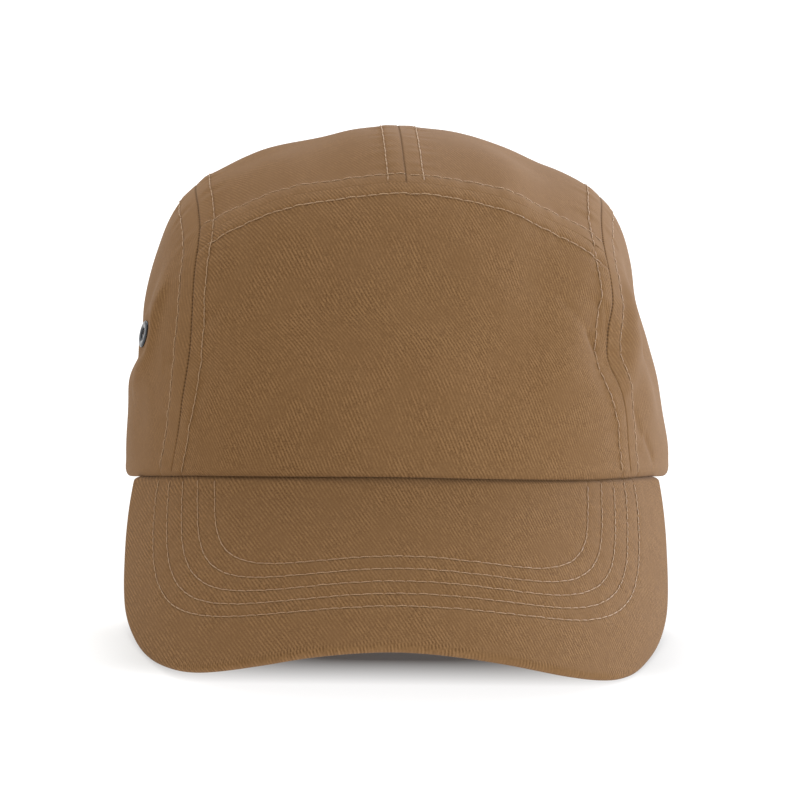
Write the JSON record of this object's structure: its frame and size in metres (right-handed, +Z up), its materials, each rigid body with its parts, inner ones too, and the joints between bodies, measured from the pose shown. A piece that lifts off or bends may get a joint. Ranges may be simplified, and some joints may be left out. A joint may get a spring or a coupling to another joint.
{
  "type": "jockey cap",
  "caption": "Soft cotton twill jockey cap with a flat front panel, two top panels, two side panels, a stitched curved peak, side eyelets and an open back with a strap.",
  "frame": {"origin": "centre of the bounding box in plan, on the surface the cap rests on", "axes": "+Z up, the peak points along -Y, +X to the right as seen from the front"},
  "size_m": [0.1708, 0.2586, 0.136],
  "materials": {
    "twill": "matt cotton twill",
    "band_cloth": "matt plain cotton",
    "eyelet_metal": "dark nickel, satin"
  },
  "bodies": {
    "root": {"front_panel": "twill", "top_panel_left": "twill", "top_panel_right": "twill", "side_panel_left": "twill", "side_panel_right": "twill", "peak": "twill", "back_strap": "twill", "sweatband": "band_cloth", "eyelet_left_front": "eyelet_metal", "eyelet_left_rear": "eyelet_metal", "eyelet_right_front": "eyelet_metal", "eyelet_right_rear": "eyelet_metal"}
  },
  "joints": []
}
